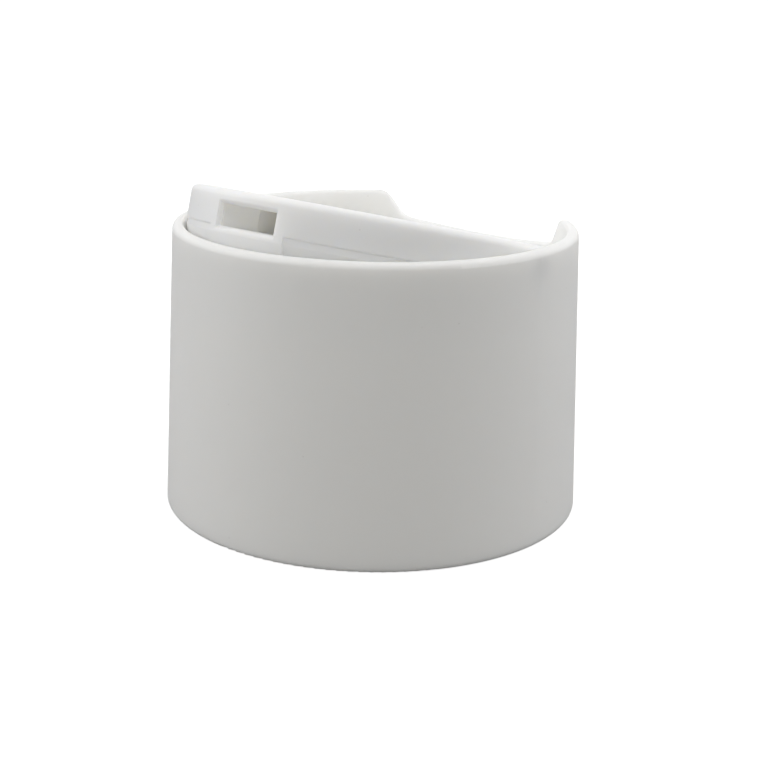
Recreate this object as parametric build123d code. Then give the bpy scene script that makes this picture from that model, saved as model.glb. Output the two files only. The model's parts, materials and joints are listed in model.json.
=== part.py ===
from build123d import *

import os
from math import cos, radians, sin, tan

# Disc top closure for a 28-410 bottle neck: a smooth tapered body and a tilting disc.
# Millimetres, +Z up. The origin is the centre of the open end, the spout faces -Y,
# the finger scoop is at +Y and the hinge lies along X.

# Body: outside
BASE_DIAMETER = 33.0
TOP_DIAMETER = 31.35
BODY_HEIGHT = 22.4
FOOT_ROUND = 0.35
RIM_WALL = 0.9  # at the very top, above the recess
RIM_OUTER_ROUND = 0.5
RIM_OUTER_SHARE = 0.56  # at most this much of the wall where it is thinnest
RIM_INNER_ROUND = 0.3  # leaves a narrow crest beside the outer round
RIM_INNER_SHARE = 0.34

# Body: finger scoop in the rear of the rim
SCOOP_WIDTH = 18.4  # where its sides meet the rim's plane
SCOOP_SIDE_RUN = 1.3  # how far each side runs in, from the rim down to the floor
SCOOP_SIDE_DEPTH = 2.25
SCOOP_DEPTH = 3.1
SCOOP_CREST_ROUND = 1.0
SCOOP_FOOT_ROUND = 1.4

# Body: deck and neck side
DECK_THICKNESS = 1.2
DECK_FILLET = 0.45
NECK_WALL = 2.5  # from the foot's outside to the thread's root, which is then 28.0 across
ENTRY_STEP = 0.9  # the open end is wider than the thread's root
ENTRY_DEPTH = 2.2
LAND_STEP = 0.4  # round the bottle's land, above the thread, the bore is narrower
BEAD_INSET = 1.7  # raised ring that bites the land, from the thread's root
BEAD_HEIGHT = 0.3
PLUG_INSET = 3.3  # seal that enters the bottle's mouth, from the thread's root
PLUG_WALL = 0.9
PLUG_DEPTH = 1.5

# Disc: plate and skirt
DISC_GAP = 0.14  # radial gap to the recess wall
DISC_PROUD = 0.33  # shut disc above the rim
DISC_HEIGHT = 2.75
DISC_WALL = 1.0
PLATE_THICKNESS = 1.0
DISC_EDGE_ROUND = 0.55
DISC_FOOT_ROUND = 0.15
DISH_BORDER = 1.6  # flat ring round the shallow dish
DISH_DEPTH = 0.3

# Guard wall under the skirt, which hides the works while the disc is open
GUARD_INSET = 0.1  # behind the skirt's face
GUARD_WALL = 0.85
GUARD_REACH = 75  # degrees to each side of the spout

# Hinge
OPEN_TILT = 14.2  # degrees from shut to open
PIVOT_DEPTH = 1.75  # below the disc's top
PIN_RADIUS = 0.8
PIN_LENGTH = 0.5  # beyond the skirt
PIN_BEVEL = 0.2
PIN_CLEARANCE = 0.05
STOP_GAP = 0.15  # open disc above the deck

# Nozzle under the disc
MOUTH_WIDTH = 5.3
MOUTH_HEIGHT = 1.6
MOUTH_ROOF = 1.12
MOUTH_ROUND = 0.3
MOUTH_BULGE = 0.21  # of the round's size, a little flatter than a quarter circle
MOUTH_LAND = 0.7  # from the disc's face to where the sides draw in
THROAT_WIDTH = 2.4  # about the port's area
THROAT_DEPTH = 2.8  # behind the disc's face
NOZZLE_SIDE_WALL = 1.0
NOZZLE_FLOOR = 0.65
APRON_DEPTH = 4.6  # front wall, below the disc's top
APRON_SLOPE = 0.35  # how far its foot leans back
APRON_WALL = 0.9
LEAN_START = 0.18  # below the rounded lip of the mouth

# Port between the neck and the nozzle
PORT_OFFSET = 5.5  # in front of the hinge
PORT_BORE_RADIUS = 1.1
PORT_WALL = 0.8
PORT_TOP_DROP = 0.45  # below the hinge
COLLAR_GAP = 0.2
COLLAR_WALL = 0.65
COLLAR_DEPTH = 4.6  # below the disc's top
PLUG_PIN_GAP = 0.1
PLUG_PIN_ENTRY = 0.65
PLUG_PIN_BEVEL = 0.3

# Ribs under the disc
RIB_WALL = 0.8
RIB_DEPTH = 2.35  # below the disc's top
RIB_SPACING = 10.0

OVERLAP = 0.15  # how far joined features run into each other

# Places that follow from the sizes above
base_radius = BASE_DIAMETER / 2
top_radius = TOP_DIAMETER / 2
widest = max(base_radius, top_radius)
draft = (base_radius - top_radius) / BODY_HEIGHT
thread_root_radius = base_radius - NECK_WALL
land_radius = thread_root_radius - LAND_STEP
bead_radius = thread_root_radius - BEAD_INSET
plug_radius = thread_root_radius - PLUG_INSET
recess_radius = top_radius - RIM_WALL
thinnest_rim = RIM_WALL + min(0, draft * SCOOP_DEPTH)
rim_outer_round = min(RIM_OUTER_ROUND, RIM_OUTER_SHARE * thinnest_rim)
rim_inner_round = min(RIM_INNER_ROUND, RIM_INNER_SHARE * thinnest_rim)
disc_radius = recess_radius - DISC_GAP
disc_top = BODY_HEIGHT + DISC_PROUD
pivot_z = disc_top - PIVOT_DEPTH
tilt = radians(OPEN_TILT)
skirt_drop = DISC_HEIGHT - PIVOT_DEPTH
deck_top = pivot_z - skirt_drop * cos(tilt) - disc_radius * sin(tilt) - STOP_GAP
deck_under = deck_top - DECK_THICKNESS
port_outer_radius = PORT_BORE_RADIUS + PORT_WALL
port_top = pivot_z - PORT_TOP_DROP
plate_under = disc_top - PLATE_THICKNESS
mouth_top = disc_top - MOUTH_ROOF
mouth_floor = mouth_top - MOUTH_HEIGHT
nozzle_under = mouth_floor - NOZZLE_FLOOR
nozzle_half_width = MOUTH_WIDTH / 2 + NOZZLE_SIDE_WALL
chamber_radius = port_outer_radius + COLLAR_GAP
collar_low = disc_top - COLLAR_DEPTH
collar_flare = port_top - collar_low
collar_foot_radius = chamber_radius + collar_flare * tan(tilt)
collar_outer_radius = collar_foot_radius + COLLAR_WALL
apron_low = disc_top - APRON_DEPTH
lean_top = mouth_floor - MOUTH_ROUND - LEAN_START
skirt_low = disc_top - DISC_HEIGHT
hinge_line = Axis((0, 0, pivot_z), (1, 0, 0))


def upright(x, y, radius, low, high):
    """Cylinder from one height to another, parallel to Z."""
    return Pos(x, y, low) * Cylinder(
        radius, high - low, align=(Align.CENTER, Align.CENTER, Align.MIN)
    )


def wall_and_deck():
    """Tapered outer wall with the threaded room below the deck and the recess above it."""
    over = 1.0  # trimmed away with the scoop
    plug_foot = deck_under - PLUG_DEPTH
    plug_inner = plug_radius - PLUG_WALL
    outline = Polyline(
        (0, deck_under),
        (plug_inner, deck_under),
        (plug_inner, plug_foot),
        (plug_radius - PLUG_WALL / 3, plug_foot),
        (plug_radius, plug_foot + PLUG_DEPTH / 2),
        (plug_radius - PLUG_WALL / 6, deck_under),
        (bead_radius - BEAD_HEIGHT, deck_under),
        (bead_radius, deck_under - BEAD_HEIGHT),
        (bead_radius + BEAD_HEIGHT, deck_under),
        (land_radius, deck_under),
        (land_radius, plug_foot),
        (thread_root_radius, plug_foot),
        (thread_root_radius, ENTRY_DEPTH),
        (thread_root_radius + ENTRY_STEP, 0),
        (base_radius, 0),
        (top_radius - draft * over, BODY_HEIGHT + over),
        (recess_radius, BODY_HEIGHT + over),
        (recess_radius, deck_top),
        (0, deck_top),
        (0, deck_under),
    )
    face = make_face(outline)
    foot = face.vertices().sort_by_distance((base_radius, 0, 0))[0]
    face = fillet(foot, FOOT_ROUND)
    corner = face.vertices().sort_by_distance((recess_radius, deck_top, 0))[0]
    face = fillet(corner, DECK_FILLET)
    return revolve(Plane.XZ * face, Axis.Z)


def rim_trim():
    """What is taken off above the rim: a flat over the front, the scoop over the rear."""
    reach = widest + 1
    high = BODY_HEIGHT + 2
    side_z = BODY_HEIGHT - SCOOP_SIDE_DEPTH
    half_rim = SCOOP_WIDTH / 2
    half_floor = half_rim - SCOOP_SIDE_RUN
    edges = Polyline(
        (-half_floor, side_z),
        (-half_rim, BODY_HEIGHT),
        (-reach, BODY_HEIGHT),
        (-reach, high),
        (reach, high),
        (reach, BODY_HEIGHT),
        (half_rim, BODY_HEIGHT),
        (half_floor, side_z),
    )
    floor = ThreePointArc(
        (half_floor, side_z), (0, BODY_HEIGHT - SCOOP_DEPTH), (-half_floor, side_z)
    )
    face = make_face(edges.edges() + floor.edges())
    for x, z, size in (
        (half_rim, BODY_HEIGHT, SCOOP_CREST_ROUND),
        (half_floor, side_z, SCOOP_FOOT_ROUND),
    ):
        for side in (-x, x):
            corner = face.vertices().sort_by_distance((side, z, 0))[0]
            face = fillet(corner, size)
    rear = extrude(Plane.XZ * face, -reach)
    front = Pos(0, -reach / 2, (BODY_HEIGHT + high) / 2) * Box(
        2 * reach, reach, high - BODY_HEIGHT
    )
    return rear + front


def round_the_rim(body, face_radius, lean, size):
    """Rounds the rim's edge along one face of the wall, which widens downwards by lean."""
    lowest = BODY_HEIGHT - SCOOP_DEPTH - 0.01

    def off_the_face(point):
        return abs(Vector(point.X, point.Y, 0).length - face_radius - lean * (BODY_HEIGHT - point.Z))

    def on_the_face(edge):
        near = off_the_face(edge @ 0) < 0.01 and off_the_face(edge @ 1) < 0.01
        return near and edge.bounding_box().min.Z > lowest

    return fillet(body.edges().filter_by(on_the_face), size)


def make_cap_body():
    body = wall_and_deck() - rim_trim()
    body = round_the_rim(body, top_radius, draft, rim_outer_round)
    body = round_the_rim(body, recess_radius, 0, rim_inner_round)
    body += upright(0, -PORT_OFFSET, port_outer_radius, deck_top - OVERLAP, port_top)
    body -= upright(0, -PORT_OFFSET, PORT_BORE_RADIUS, deck_under - 1, port_top + 1)
    reach = disc_radius + PIN_LENGTH + 2 * PIN_CLEARANCE
    socket = Cylinder(PIN_RADIUS + PIN_CLEARANCE, 2 * reach)
    return body - Pos(0, 0, pivot_z) * Rot(0, 90, 0) * socket


def plate_and_skirt():
    """Round plate with a shallow dish and a short skirt."""
    inner = disc_radius - DISC_WALL
    face = make_face(
        Polyline(
            (0, plate_under),
            (inner, plate_under),
            (inner, skirt_low),
            (disc_radius, skirt_low),
            (disc_radius, disc_top),
            (0, disc_top),
            (0, plate_under),
        )
    )
    for radius, z, size in (
        (disc_radius, disc_top, DISC_EDGE_ROUND),
        (disc_radius, skirt_low, DISC_FOOT_ROUND),
    ):
        corner = face.vertices().sort_by_distance((radius, z, 0))[0]
        face = fillet(corner, size)
    dish_width = disc_radius - DISH_BORDER
    ball = (dish_width**2 + DISH_DEPTH**2) / (2 * DISH_DEPTH)
    dish = Pos(0, 0, disc_top - DISH_DEPTH + ball) * Sphere(ball)
    return revolve(Plane.XZ * face, Axis.Z) - dish


def front_shape(radius, top):
    """Round front that leans back towards its foot, so that it clears the recess."""
    lean = lean_top - apron_low
    foot = Cone(radius - APRON_SLOPE, radius, lean)
    return upright(0, 0, radius, lean_top, top) + Pos(0, 0, apron_low + lean / 2) * foot


def guard_wall():
    """Wall below the skirt, round the front half of the disc."""
    outer = disc_radius - GUARD_INSET
    wall = front_shape(outer, skirt_low + OVERLAP)
    wall -= upright(0, 0, outer - GUARD_WALL, apron_low - 1, disc_top)
    half = radians(GUARD_REACH)
    corner = (2 * disc_radius * sin(half), -2 * disc_radius * cos(half))
    sector = Polyline(
        (0, 0), corner, (corner[0], -2 * disc_radius), (-corner[0], -2 * disc_radius),
        (-corner[0], corner[1]), (0, 0),
    )
    return wall & (Pos(0, 0, apron_low) * extrude(make_face(sector), APRON_DEPTH))


def nozzle_block():
    """Housing under the plate from the mouth to the port, with its deeper front wall."""
    top = plate_under + OVERLAP
    width, height = 2 * nozzle_half_width, top - nozzle_under
    housing = Pos(0, -(disc_radius + PORT_OFFSET) / 2, nozzle_under + height / 2) * Box(
        width, disc_radius - PORT_OFFSET, height
    )
    housing += upright(0, -PORT_OFFSET, collar_outer_radius, nozzle_under, top)
    apron = Pos(0, APRON_WALL / 2 - disc_radius, (apron_low + nozzle_under) / 2) * Box(
        width, APRON_WALL + 2 * APRON_SLOPE, nozzle_under - apron_low
    )
    return (housing + apron) & front_shape(disc_radius, top)


def collar():
    """Skirt that hangs round the port."""
    return upright(0, -PORT_OFFSET, collar_outer_radius, collar_low, nozzle_under + OVERLAP)


def collar_room():
    """Hollow of the collar: a chamber over the port, flared below to tip over its wall."""
    chamber = upright(0, -PORT_OFFSET, chamber_radius, port_top, mouth_top)
    flare = Cone(collar_foot_radius, chamber_radius, collar_flare)
    return chamber + Pos(0, -PORT_OFFSET, collar_low + collar_flare / 2) * flare


def channel():
    """Flat passage from the chamber to the mouth, where it opens like a funnel."""
    half, throat = MOUTH_WIDTH / 2, THROAT_WIDTH / 2
    ahead = -disc_radius - 1
    plan = Polyline(
        (-throat, -PORT_OFFSET),
        (-throat, -disc_radius + THROAT_DEPTH),
        (-half, -disc_radius + MOUTH_LAND),
        (-half, ahead),
        (half, ahead),
        (half, -disc_radius + MOUTH_LAND),
        (throat, -disc_radius + THROAT_DEPTH),
        (throat, -PORT_OFFSET),
        (-throat, -PORT_OFFSET),
    )
    return Pos(0, 0, mouth_floor) * extrude(make_face(plan), MOUTH_HEIGHT)


def mouth_rounds():
    """What is cut from the disc's face, so that all four edges of the mouth are round."""
    size, bulge, beyond = MOUTH_ROUND, MOUTH_ROUND * MOUTH_BULGE, disc_radius + 1
    low, high, inner = mouth_floor - size, mouth_top + size, disc_radius - size
    section = [
        Line((inner, mouth_top), (inner, mouth_floor)),
        SagittaArc((inner, mouth_floor), (disc_radius, low), bulge),
        Polyline((disc_radius, low), (beyond, low), (beyond, high), (disc_radius, high)),
        SagittaArc((disc_radius, high), (inner, mouth_top), bulge),
    ]
    ring = revolve(Plane.XZ * make_face(section), Axis.Z)
    # Seen from above, the two sides of the mouth curve out to the disc's face.
    half = MOUTH_WIDTH / 2
    wide = half + size
    start_y = size - (disc_radius**2 - half**2) ** 0.5
    face_y = -((disc_radius**2 - wide**2) ** 0.5)
    plan = [
        Line((half, start_y), (-half, start_y)),
        SagittaArc((-half, start_y), (-wide, face_y), -bulge),
        Polyline((-wide, face_y), (-wide, -beyond), (wide, -beyond), (wide, face_y)),
        SagittaArc((wide, face_y), (half, start_y), -bulge),
    ]
    return ring & (Pos(0, 0, low) * extrude(make_face(plan), high - low))


def ribs():
    """Cross rib between the pins and two ribs to the rear of the skirt."""
    low = disc_top - RIB_DEPTH
    height = plate_under + OVERLAP - low
    inner = disc_radius - DISC_WALL / 2
    cross = Box(2 * inner, RIB_WALL, height)
    rear_reach = (inner**2 - (RIB_SPACING / 2) ** 2) ** 0.5
    rear = [
        Pos(x, rear_reach / 2, 0) * Box(RIB_WALL, rear_reach, height)
        for x in (-RIB_SPACING / 2, RIB_SPACING / 2)
    ]
    return [Pos(0, 0, low + height / 2) * rib for rib in (cross, *rear)]


def pins():
    """Two trunnions on the hinge line, bevelled so that they snap into their sockets."""
    root = disc_radius - DISC_WALL / 2
    length = PIN_LENGTH + disc_radius - root
    pin = Cylinder(PIN_RADIUS, length, align=(Align.CENTER, Align.CENTER, Align.MIN))
    pin = chamfer(pin.edges().sort_by(Axis.Z)[-1], PIN_BEVEL)
    return [Pos(side * root, 0, pivot_z) * Rot(0, side * 90, 0) * pin for side in (-1, 1)]


def plug_pin():
    """Stopper over the port that lifts out of it as the disc tips."""
    low = port_top - PLUG_PIN_ENTRY
    radius = PORT_BORE_RADIUS - PLUG_PIN_GAP
    pin = upright(0, -PORT_OFFSET, radius, low, mouth_top + OVERLAP)
    return chamfer(pin.edges().sort_by(Axis.Z)[0], PLUG_PIN_BEVEL)


def make_disc():
    disc = plate_and_skirt()
    for rib in ribs():
        disc += rib
    disc += guard_wall()
    disc += nozzle_block()
    disc += collar()
    disc -= collar_room()
    disc -= channel()
    disc -= mouth_rounds()
    disc += plug_pin()
    for pin in pins():
        disc += pin
    return disc.rotate(hinge_line, -OPEN_TILT)


os.makedirs("parts", exist_ok=True)
export_step(make_cap_body(), "parts/cap_body.step")
export_step(make_disc(), "parts/disc.step")
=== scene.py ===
import json
import math

import bpy
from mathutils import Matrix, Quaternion, Vector


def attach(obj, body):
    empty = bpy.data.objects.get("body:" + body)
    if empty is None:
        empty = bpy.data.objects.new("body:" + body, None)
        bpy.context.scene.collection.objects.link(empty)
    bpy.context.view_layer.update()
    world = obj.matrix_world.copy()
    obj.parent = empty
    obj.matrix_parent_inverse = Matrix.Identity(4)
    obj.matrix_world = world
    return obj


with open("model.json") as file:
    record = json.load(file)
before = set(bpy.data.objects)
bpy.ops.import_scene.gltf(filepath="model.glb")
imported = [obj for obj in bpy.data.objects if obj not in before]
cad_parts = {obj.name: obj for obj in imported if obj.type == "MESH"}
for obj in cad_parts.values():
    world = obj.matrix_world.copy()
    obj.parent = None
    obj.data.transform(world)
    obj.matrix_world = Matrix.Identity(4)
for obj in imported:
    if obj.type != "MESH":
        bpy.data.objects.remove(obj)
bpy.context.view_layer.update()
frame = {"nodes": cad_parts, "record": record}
capBody = frame["nodes"]["cap_body"]
disc = frame["nodes"]["disc"]
mounts = {mount["name"]: mount for mount in frame["record"]["mounts"]}
print("frame loaded:", ", ".join(sorted(frame["nodes"])))


def deselectAll():
    if bpy.context.object and bpy.context.object.mode != "OBJECT":
        bpy.ops.object.mode_set(mode="OBJECT")
    bpy.ops.object.select_all(action="DESELECT")


def pickPoints(piece, wanted):
    # Leaves the piece in edit mode with only the points that wanted() accepts selected.
    bpy.ops.object.mode_set(mode="EDIT")
    bpy.ops.mesh.select_mode(type="VERT")
    bpy.ops.mesh.select_all(action="DESELECT")
    bpy.ops.object.mode_set(mode="OBJECT")
    for point in piece.data.vertices:
        point.select = wanted(point.co)
    bpy.ops.object.mode_set(mode="EDIT")


# Small helpers for node trees: a node with its socket values set, and a link by socket name.


def addNode(tree, kind, values=None, **settings):
    node = tree.nodes.new(kind)
    for name, value in settings.items():
        setattr(node, name, value)
    for socket, value in (values or {}).items():
        node.inputs[socket].default_value = value
    return node


def join(tree, source, output, target, socket):
    tree.links.new(source.outputs[output], target.inputs[socket])


# A Mix node's sockets for colours share their names with those for numbers, so they go by place.
mixColours = {"first": 6, "second": 7, "result": 2}

# Moulded skin: the slow tone drift, rare specks and fine satin grain of moulded polypropylene.
# Every white piece uses it, each with its own amounts.
mouldedPattern = {
    "flow": {"Scale": 170.0, "Detail": 3.0, "Roughness": 0.45},  # broad, barely visible patches
    "glossBand": {"From Min": 0.3, "From Max": 0.7},
    "dots": {"Scale": 500.0},
    "dotEdge": {"From Min": 0.02, "From Max": 0.04, "To Max": 0.0},  # about 0.1 mm across
    "dotColour": (0.3, 0.28, 0.25, 1),
    "grain": {"Scale": 7000.0, "Detail": 4.0, "Roughness": 0.6},  # the mould's etched satin
}


def makeMouldedSkin(pattern):
    group = bpy.data.node_groups.new("mouldedSkin", "ShaderNodeTree")
    sockets = group.interface
    sockets.new_socket("Place", in_out="INPUT", socket_type="NodeSocketVector")
    for name in ("Tint", "Shade"):
        sockets.new_socket(name, in_out="INPUT", socket_type="NodeSocketColor")
    for name in ("Drift", "Specks", "Gloss Low", "Gloss High"):
        sockets.new_socket(name, in_out="INPUT", socket_type="NodeSocketFloat")
    sockets.new_socket("Color", in_out="OUTPUT", socket_type="NodeSocketColor")
    for name in ("Roughness", "Height"):
        sockets.new_socket(name, in_out="OUTPUT", socket_type="NodeSocketFloat")
    inside = addNode(group, "NodeGroupInput")
    outside = addNode(group, "NodeGroupOutput")
    first, second, result = mixColours["first"], mixColours["second"], mixColours["result"]
    flow = addNode(group, "ShaderNodeTexNoise", pattern["flow"])
    join(group, inside, "Place", flow, "Vector")
    amount = addNode(group, "ShaderNodeMath", operation="MULTIPLY")
    join(group, flow, "Fac", amount, 0)
    join(group, inside, "Drift", amount, 1)
    blend = addNode(group, "ShaderNodeMix", data_type="RGBA")
    join(group, amount, 0, blend, "Factor")
    join(group, inside, "Tint", blend, first)
    join(group, inside, "Shade", blend, second)
    dots = addNode(group, "ShaderNodeTexVoronoi", pattern["dots"])
    join(group, inside, "Place", dots, "Vector")
    mark = addNode(group, "ShaderNodeMapRange", pattern["dotEdge"])
    join(group, dots, "Distance", mark, "Value")
    join(group, inside, "Specks", mark, "To Min")
    marked = addNode(group, "ShaderNodeMix", {second: pattern["dotColour"]}, data_type="RGBA")
    join(group, mark, "Result", marked, "Factor")
    join(group, blend, result, marked, first)
    join(group, marked, result, outside, "Color")
    grain = addNode(group, "ShaderNodeTexNoise", pattern["grain"])
    join(group, inside, "Place", grain, "Vector")
    join(group, grain, "Fac", outside, "Height")
    gloss = addNode(group, "ShaderNodeMapRange", pattern["glossBand"])
    join(group, flow, "Fac", gloss, "Value")
    join(group, inside, "Gloss Low", gloss, "To Min")
    join(group, inside, "Gloss High", gloss, "To Max")
    join(group, gloss, "Result", outside, "Roughness")
    return group


mouldedSkin = makeMouldedSkin(mouldedPattern)

# Shared by both plastics, which are cloudy: light goes in and comes out again close by.
polypropylene = {"ior": 1.49, "clouding": 1.0, "grainDepth": 0.000004, "grainStrength": 0.5}
whiteBody = {
    "name": "satinWhiteBody",
    "tint": (0.89, 0.887, 0.874, 1),
    "shade": (0.87, 0.867, 0.852, 1),
    "drift": 0.5,
    "specks": 0.14,
    "glossLow": 0.44,
    "glossHigh": 0.52,
    "cloudDepth": 0.001,
    "cloudTint": (1.0, 0.97, 0.94),
}
# The disc's white is paler than the body's, though both are the same plastic: painted light that
# brightens the disc and its mouth.
discWhiteWithPaintedLight = {
    "name": "satinWhiteDiscWithPaintedLight",
    "tint": (0.975, 0.972, 0.955, 1),
    "shade": (0.96, 0.956, 0.938, 1),
    "drift": 0.5,
    "specks": 0.14,
    "glossLow": 0.42,
    "glossHigh": 0.5,
    "cloudDepth": 0.0012,
    "cloudTint": (1.0, 0.95, 0.86),
}


def makeFinish(look, plastic):
    material = bpy.data.materials.new(look["name"])
    material.use_nodes = True
    tree = material.node_tree
    shader = tree.nodes["Principled BSDF"]
    shader.subsurface_method = "RANDOM_WALK"
    shader.inputs["IOR"].default_value = plastic["ior"]
    shader.inputs["Subsurface Weight"].default_value = plastic["clouding"]
    shader.inputs["Subsurface Scale"].default_value = look["cloudDepth"]
    shader.inputs["Subsurface Radius"].default_value = look["cloudTint"]
    amounts = {
        "Tint": look["tint"],
        "Shade": look["shade"],
        "Drift": look["drift"],
        "Specks": look["specks"],
        "Gloss Low": look["glossLow"],
        "Gloss High": look["glossHigh"],
    }
    place = addNode(tree, "ShaderNodeTexCoord")
    skin = addNode(tree, "ShaderNodeGroup", amounts, node_tree=mouldedSkin)
    join(tree, place, "Object", skin, "Place")
    join(tree, skin, "Color", shader, "Base Color")
    join(tree, skin, "Roughness", shader, "Roughness")
    relief = {"Strength": plastic["grainStrength"], "Distance": plastic["grainDepth"]}
    bump = addNode(tree, "ShaderNodeBump", relief)
    join(tree, skin, "Height", bump, "Height")
    join(tree, bump, "Normal", shader, "Normal")
    return material


def dress(piece, material):
    piece.data.materials.clear()
    piece.data.materials.append(material)


bodyFinish = makeFinish(whiteBody, polypropylene)
discFinishWithPaintedLight = makeFinish(discWhiteWithPaintedLight, polypropylene)
dress(capBody, bodyFinish)
dress(disc, discFinishWithPaintedLight)
print("finishes: satin white polypropylene on body and disc")


# Thread inside the neck end: one right-handed ridge, sunk a little into the wall, with tapered
# run-outs and six threads to the inch.
boreRadius = mounts["neck_thread"]["dims"]["r_mm"] / 1000
inch = 0.0254
thread = {
    "bore": boreRadius,
    "sunk": 0.00005,
    "height": 0.0011,
    "rootWidth": 0.0022,
    "crestWidth": 0.0008,
    "crestRound": 0.0002,
    "crestFacets": 4,
    "pitch": inch / 6,
    "turns": 1.5,
    "start": 0.0040,
    "stepsPerTurn": 120,
    "runOut": 0.0055,
    "endCorners": 32,
    "slack": 0.000005,
}


def addThread(size):
    deselectAll()
    root = size["bore"] + size["sunk"]
    crest = root - size["height"]
    bpy.ops.mesh.primitive_plane_add(
        size=1, location=((root + crest) / 2, 0, size["start"]), rotation=(math.pi / 2, 0, 0)
    )
    ridge = bpy.context.object
    ridge.name = "neckThreadRidge"
    ridge.scale = (size["height"], size["rootWidth"], 1)
    bpy.ops.object.transform_apply(location=True, rotation=True, scale=True)
    # The two crest corners come together, then their edges are rounded.
    pickPoints(ridge, lambda co: co.x < (root + crest) / 2)
    narrow = size["crestWidth"] / size["rootWidth"]
    bpy.ops.transform.resize(value=(1, 1, narrow), center_override=(crest, 0, size["start"]))
    bpy.ops.mesh.bevel(offset=size["crestRound"], segments=size["crestFacets"], affect="VERTICES")
    bpy.ops.mesh.select_all(action="SELECT")
    bpy.ops.mesh.delete(type="ONLY_FACE")
    bpy.ops.object.mode_set(mode="OBJECT")
    screw = ridge.modifiers.new("helix", "SCREW")
    screw.axis = "Z"
    screw.angle = 2 * math.pi * size["turns"]
    screw.screw_offset = size["pitch"] * size["turns"]
    screw.steps = screw.render_steps = round(size["stepsPerTurn"] * size["turns"])
    bpy.ops.object.modifier_apply(modifier=screw.name)
    bpy.ops.object.mode_set(mode="EDIT")
    bpy.ops.mesh.select_all(action="SELECT")
    bpy.ops.mesh.fill_holes(sides=size["endCorners"])
    bpy.ops.mesh.normals_make_consistent(inside=False)
    # Each end is pushed into the wall, and the ridge near it follows, which makes the run-out.
    stop = size["start"] + size["pitch"] * size["turns"]
    slack = size["slack"]
    reach = size["rootWidth"] / 2 + slack
    for height, outward in ((size["start"], 1), (stop, -1)):
        pickPoints(
            ridge,
            lambda co: abs(co.y) < slack and co.x * outward > 0 and abs(co.z - height) < reach,
        )
        bpy.ops.transform.translate(
            value=(outward * size["height"], 0, 0),
            use_proportional_edit=True,
            use_proportional_connected=True,
            proportional_edit_falloff="SMOOTH",
            proportional_size=size["runOut"],
        )
    bpy.ops.object.mode_set(mode="OBJECT")
    return ridge


threadRidge = addThread(thread)
dress(threadRidge, bodyFinish)
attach(threadRidge, "closure")
print("thread ridge:", len(threadRidge.data.polygons), "faces")


# Studio: pale table, white surroundings for the camera, and soft lamps above and all round.
table = {
    "radius": 3.0,
    "sides": 128,
    "edgeShare": 0.02,
    "height": -0.00002,
    "tone": 0.35,
    "liftNear": 0.85,
    "liftFar": 1.0,
    "near": 0.03,
    "far": 0.14,
}


def addTable(size):
    deselectAll()
    bpy.ops.mesh.primitive_circle_add(
        vertices=size["sides"],
        radius=size["radius"],
        fill_type="NGON",
        location=(0, 0, size["height"]),
    )
    top = bpy.context.object
    top.name = "table"
    bpy.ops.object.mode_set(mode="EDIT")
    bpy.ops.mesh.inset(thickness=size["radius"] * size["edgeShare"])
    bpy.ops.object.mode_set(mode="OBJECT")
    material = bpy.data.materials.new("paleTable")
    material.use_nodes = True
    tree = material.node_tree
    tree.nodes.remove(tree.nodes["Principled BSDF"])
    tone = size["tone"]
    matte = addNode(tree, "ShaderNodeBsdfDiffuse", {"Color": (tone, tone, tone, 1)})
    # Seen by the camera, the table also glows. This is painted light: it is whiter with the distance
    # from the cap and dimmer near the cap, where it keeps a soft shadow.
    place = addNode(tree, "ShaderNodeTexCoord")
    away = addNode(tree, "ShaderNodeVectorMath", operation="LENGTH")
    join(tree, place, "Object", away, 0)
    lift = addNode(
        tree,
        "ShaderNodeMapRange",
        {
            "From Min": size["near"],
            "From Max": size["far"],
            "To Min": size["liftNear"],
            "To Max": size["liftFar"],
        },
        interpolation_type="SMOOTHSTEP",
    )
    join(tree, away, "Value", lift, "Value")
    glow = addNode(tree, "ShaderNodeEmission")
    join(tree, lift, "Result", glow, "Strength")
    paths = addNode(tree, "ShaderNodeLightPath")
    dark = addNode(tree, "ShaderNodeEmission", {"Strength": 0.0})
    choose = addNode(tree, "ShaderNodeMixShader")
    both = addNode(tree, "ShaderNodeAddShader")
    join(tree, paths, "Is Camera Ray", choose, 0)
    join(tree, dark, 0, choose, 1)
    join(tree, glow, 0, choose, 2)
    join(tree, matte, 0, both, 0)
    join(tree, choose, 0, both, 1)
    join(tree, both, 0, tree.nodes["Material Output"], "Surface")
    top.data.materials.append(material)


addTable(table)

surroundings = {"seen": 1.0, "light": 0.05, "tint": (1, 1, 1, 1)}


def makeWorld(sky):
    world = bpy.data.worlds.new("whiteRoom")
    bpy.context.scene.world = world
    world.use_nodes = True
    tree = world.node_tree
    light = tree.nodes["Background"]
    light.inputs["Color"].default_value = sky["tint"]
    light.inputs["Strength"].default_value = sky["light"]
    seen = addNode(tree, "ShaderNodeBackground", {"Color": sky["tint"], "Strength": sky["seen"]})
    paths = addNode(tree, "ShaderNodeLightPath")
    glossy = addNode(tree, "ShaderNodeMath", operation="MAXIMUM")
    clear = addNode(tree, "ShaderNodeMath", operation="MAXIMUM")
    choose = addNode(tree, "ShaderNodeMixShader")
    join(tree, paths, "Is Camera Ray", glossy, 0)
    join(tree, paths, "Is Glossy Ray", glossy, 1)
    join(tree, glossy, 0, clear, 0)
    join(tree, paths, "Is Transmission Ray", clear, 1)
    join(tree, clear, 0, choose, 0)
    join(tree, light, 0, choose, 1)
    join(tree, seen, 0, choose, 2)
    join(tree, choose, 0, tree.nodes["World Output"], "Surface")


makeWorld(surroundings)

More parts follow.
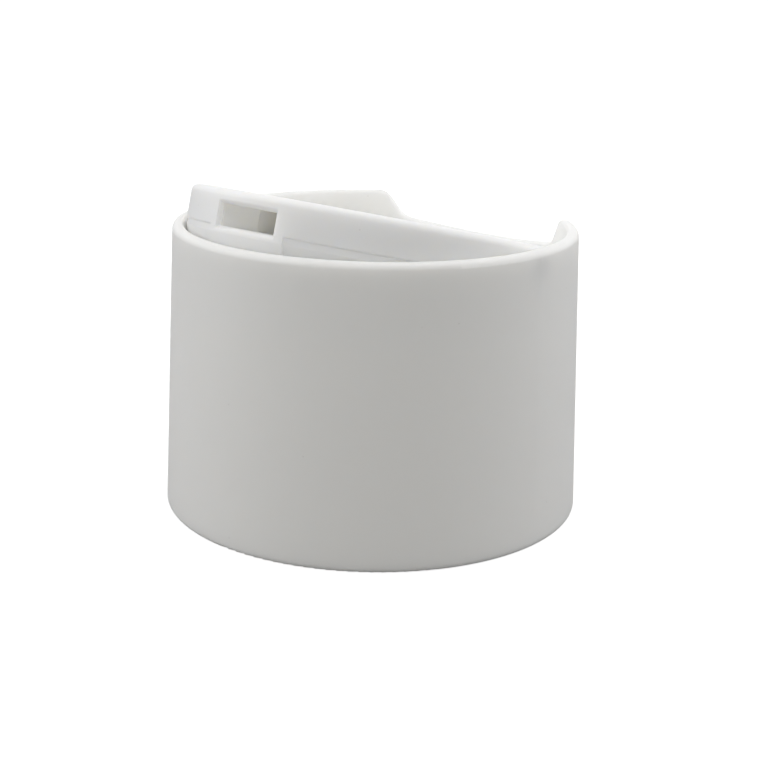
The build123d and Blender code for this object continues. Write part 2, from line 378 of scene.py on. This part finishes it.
# Each lamp: its direction from the cap in degrees, counter-clockwise from the spout as seen from
# above and upwards, then its distance, its side, its power and its tint. All face the cap's middle.
lampAim = Vector((0, 0, 0.012))
lamps = {
    "overhead": {"turn": 0, "rise": 90, "far": 0.6, "side": 1.2, "power": 4.90, "tint": (1, 1, 1)},
    "left": {"turn": -49, "rise": 20, "far": 0.6, "side": 0.5, "power": 1.24, "tint": (1, 1, 1)},
    "leftBack": {"turn": -79, "rise": 20, "far": 0.6, "side": 0.5, "power": 0.36, "tint": (1, 1, 1)},
    "rightFront": {"turn": 101, "rise": 20, "far": 0.6, "side": 0.5, "power": 0.34, "tint": (1, 1, 1)},
    "rightBack": {"turn": 155, "rise": 20, "far": 0.6, "side": 0.5, "power": 1.38, "tint": (1, 1, 1)},
    "front": {"turn": 35, "rise": 14, "far": 0.6, "side": 0.5, "power": 0.66, "tint": (1, 0.98, 0.9)},
}


def wayFromCap(turn, rise):
    # The direction that lies turn round from the spout and rise up, both in radians.
    return Vector((math.sin(turn) * math.cos(rise), -math.cos(turn) * math.cos(rise), math.sin(rise)))


def addLamp(name, lamp):
    way = wayFromCap(math.radians(lamp["turn"]), math.radians(lamp["rise"]))
    place = lampAim + way * lamp["far"]
    bpy.ops.object.light_add(type="AREA", location=place)
    light = bpy.context.object
    light.name = name
    light.data.shape = "SQUARE"
    light.data.size = lamp["side"]
    light.data.energy = lamp["power"]
    light.data.color = lamp["tint"]
    light.rotation_mode = "QUATERNION"
    light.rotation_quaternion = (lampAim - place).to_track_quat("-Z", "Y")


for lampName, lampValues in lamps.items():
    addLamp(lampName, lampValues)
print("studio:", len(lamps), "soft lamps")

# Camera: the photograph's view, to the right of the spout and a little above.
camera = {
    "azimuth": 41.0,
    "elevation": 15.82,
    "distance": 0.11834,
    "middle": 0.0112,
    "aimRight": 0.00090,
    "aimUp": -0.00190,
    "roll": 1.264,
    "lens": 69.46,
    "sensor": 36,
    "clipNear": 0.005,
    "clipFar": 5,
}


def addCamera(shot):
    turn = math.radians(shot["azimuth"])
    outward = wayFromCap(turn, math.radians(shot["elevation"]))
    level = Vector((math.cos(turn), math.sin(turn), 0))
    middle = Vector((0, 0, shot["middle"]))
    place = middle + outward * shot["distance"]
    aim = middle + level * shot["aimRight"] + outward.cross(level) * shot["aimUp"]
    bpy.ops.object.camera_add(location=place)
    eye = bpy.context.object
    eye.name = "camera"
    eye.rotation_mode = "QUATERNION"
    roll = Quaternion((0, 0, 1), math.radians(shot["roll"]))
    eye.rotation_quaternion = (aim - place).to_track_quat("-Z", "Y") @ roll
    eye.data.lens = shot["lens"]
    eye.data.sensor_width = shot["sensor"]
    eye.data.clip_start = shot["clipNear"]
    eye.data.clip_end = shot["clipFar"]
    bpy.context.scene.camera = eye


addCamera(camera)
print("camera: lens", camera["lens"], "mm")

bpy.context.scene.view_settings.view_transform = "Standard"
# White plastic passes light on many times before it fades.
bounces = {"diffuse": 16, "all": 24}
bpy.context.scene.cycles.diffuse_bounces = bounces["diffuse"]
bpy.context.scene.cycles.max_bounces = bounces["all"]
